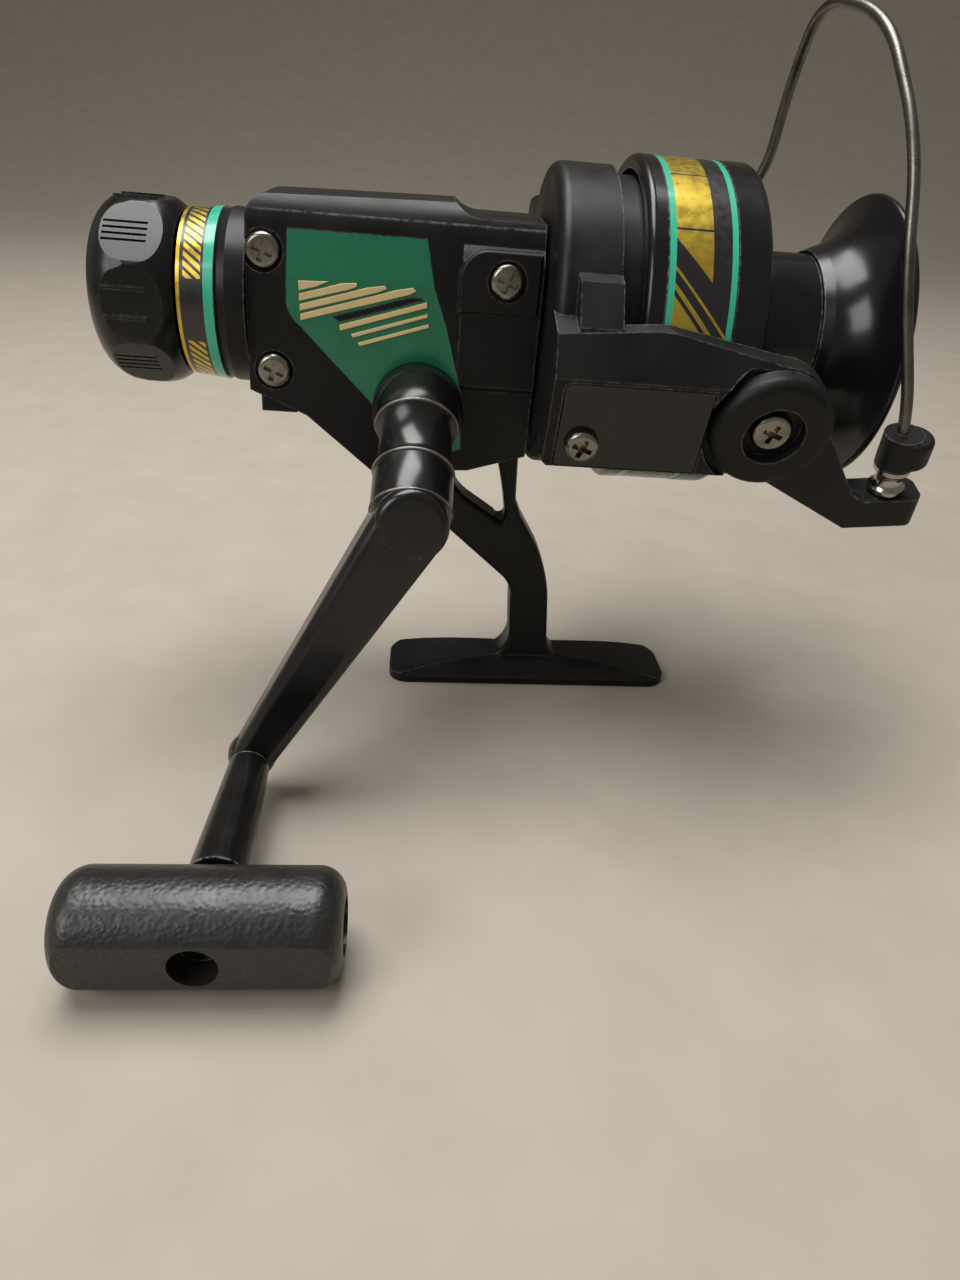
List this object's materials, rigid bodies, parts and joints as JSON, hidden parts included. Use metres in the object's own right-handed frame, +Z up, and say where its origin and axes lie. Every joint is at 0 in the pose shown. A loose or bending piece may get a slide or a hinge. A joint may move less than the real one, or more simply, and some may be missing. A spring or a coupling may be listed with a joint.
{
  "type": "spinning reel",
  "caption": "Fixed-spool fishing reel with a skirted spool, flip-over wire bail, side crank with a T-shaped knob, rear drag knob and a stem with a flat foot.",
  "frame": {"origin": "centre of the flat face under the foot", "axes": "+Z up from the foot's face, +X towards the spool and bail, +Y away from the crank side"},
  "size_m": [0.1493, 0.1294, 0.1324],
  "materials": {
    "housing_plastic": "satin moulded, graphite-filled",
    "rotor_plastic": "satin moulded, graphite-filled",
    "spool_plastic": "gloss moulded",
    "crank_plastic": "gloss, worn along its edges",
    "knob_plastic": "pebbled",
    "label_green": "gloss foil under clear coat",
    "band_foil": "printed metallised foil",
    "screw_steel": "plated",
    "bright_steel": "polished",
    "shaft_steel": "ground",
    "gear_zinc": "cast zinc",
    "pinion_brass": "cut brass",
    "fibre": "hard fibre"
  },
  "bodies": {
    "housing": {"main_housing": "housing_plastic", "side_cover": "housing_plastic", "side_label": "label_green", "cover_screws": "screw_steel", "drive_bushes": "pinion_brass", "pinion_bearing": "shaft_steel", "drag_collar": "housing_plastic", "drag_band": "band_foil", "drag_washers": "fibre", "drag_spring_washer": "shaft_steel", "oscillation_pin": "shaft_steel", "anti_reverse_pin": "shaft_steel"},
    "drag_knob": {"drag_knob": "spool_plastic"},
    "drag_sleeve": {"drag_sleeve": "shaft_steel"},
    "crank": {"drive_gear": "gear_zinc", "crank_shank": "crank_plastic", "crank_arm": "crank_plastic", "knob_spindle": "crank_plastic", "crank_cap": "crank_plastic"},
    "crank_knob": {"crank_knob": "knob_plastic", "knob_end_cap": "spool_plastic"},
    "oscillation_gear": {"oscillation_gear": "gear_zinc"},
    "slider": {"oscillation_slider": "gear_zinc"},
    "spool": {"main_shaft": "shaft_steel", "shaft_clips": "shaft_steel", "spool_body": "spool_plastic", "spool_lip": "spool_plastic", "spool_band": "band_foil", "spool_click_wheel": "fibre", "spool_front_plate": "spool_plastic"},
    "spool_button": {"spool_button": "crank_plastic"},
    "anti_reverse_lever": {"anti_reverse_lever": "spool_plastic"},
    "rotor": {"rotor": "rotor_plastic", "arm_cover_near": "crank_plastic", "arm_cover_far": "crank_plastic", "arm_cover_screws": "screw_steel", "rotor_nut": "shaft_steel", "pinion_gear": "pinion_brass", "ratchet_wheel": "shaft_steel", "bail_spring": "shaft_steel", "trip_lever": "shaft_steel", "bail_pivot_screws": "screw_steel"},
    "bail": {"bail_arm": "rotor_plastic", "roller_axle": "screw_steel", "roller_cap": "spool_plastic", "bail_wire": "bright_steel", "bail_holder_far": "rotor_plastic"},
    "line_roller": {"line_roller": "bright_steel"}
  },
  "joints": [
    {"name": "handle_crank", "type": "hinge", "parent": "housing", "child": "crank", "pos_m": [-0.0262, 0, 0.06349], "axis": [0, 1, 0], "continuous": true},
    {"name": "rotor_spin", "type": "hinge", "parent": "housing", "child": "rotor", "pos_m": [0.00185, 0, 0.07798], "axis": [0.9997, 0, -0.0237], "continuous": true},
    {"name": "oscillation_gear_spin", "type": "hinge", "parent": "housing", "child": "oscillation_gear", "pos_m": [-0.03797, 0.0056, 0.06947], "axis": [0, 1, 0], "continuous": true},
    {"name": "spool_oscillation", "type": "slide", "parent": "housing", "child": "slider", "axis": [0.9997, 0, -0.0237], "range_m": [0, 0.01]},
    {"name": "spool_drag_slip", "type": "hinge", "parent": "slider", "child": "spool", "pos_m": [0.00185, 0, 0.07798], "axis": [0.9997, 0, -0.0237], "continuous": true},
    {"name": "drag_sleeve_spin", "type": "hinge", "parent": "housing", "child": "drag_sleeve", "pos_m": [0.00185, 0, 0.07798], "axis": [0.9997, 0, -0.0237], "continuous": true},
    {"name": "spool_release", "type": "slide", "parent": "spool", "child": "spool_button", "axis": [-0.9997, 0, 0.0237], "range_m": [0, 0.0012], "stiffness_N_per_m": 300},
    {"name": "drag_adjust", "type": "hinge", "parent": "housing", "child": "drag_knob", "pos_m": [0.00185, 0, 0.07798], "axis": [0.9997, 0, -0.0237], "range_deg": [-270, 270]},
    {"name": "anti_reverse_switch", "type": "hinge", "parent": "housing", "child": "anti_reverse_lever", "pos_m": [-0.05254, 0, 0.06656], "axis": [0, 1, 0], "range_deg": [-10, 10]},
    {"name": "bail_flip", "type": "hinge", "parent": "rotor", "child": "bail", "pos_m": [0.03344, 0, 0.07723], "axis": [-0.0069, -0.9563, -0.2923], "range_deg": [0, 45]},
    {"name": "line_roller_spin", "type": "hinge", "parent": "bail", "child": "line_roller", "pos_m": [0.0589, -0.02669, 0.05857], "axis": [-0.0994, -0.2902, 0.9518], "continuous": true},
    {"name": "knob_spin", "type": "hinge", "parent": "crank", "child": "crank_knob", "pos_m": [-0.0545, -0.0858, 0.0085], "axis": [0, 1, 0], "continuous": true}
  ],
  "couplings": [
    {"joint": "rotor_spin", "follows": "handle_crank", "ratio": -5},
    {"joint": "oscillation_gear_spin", "follows": "handle_crank", "ratio": -0.57143},
    {"joint": "drag_sleeve_spin", "follows": "spool_drag_slip", "ratio": 1}
  ]
}
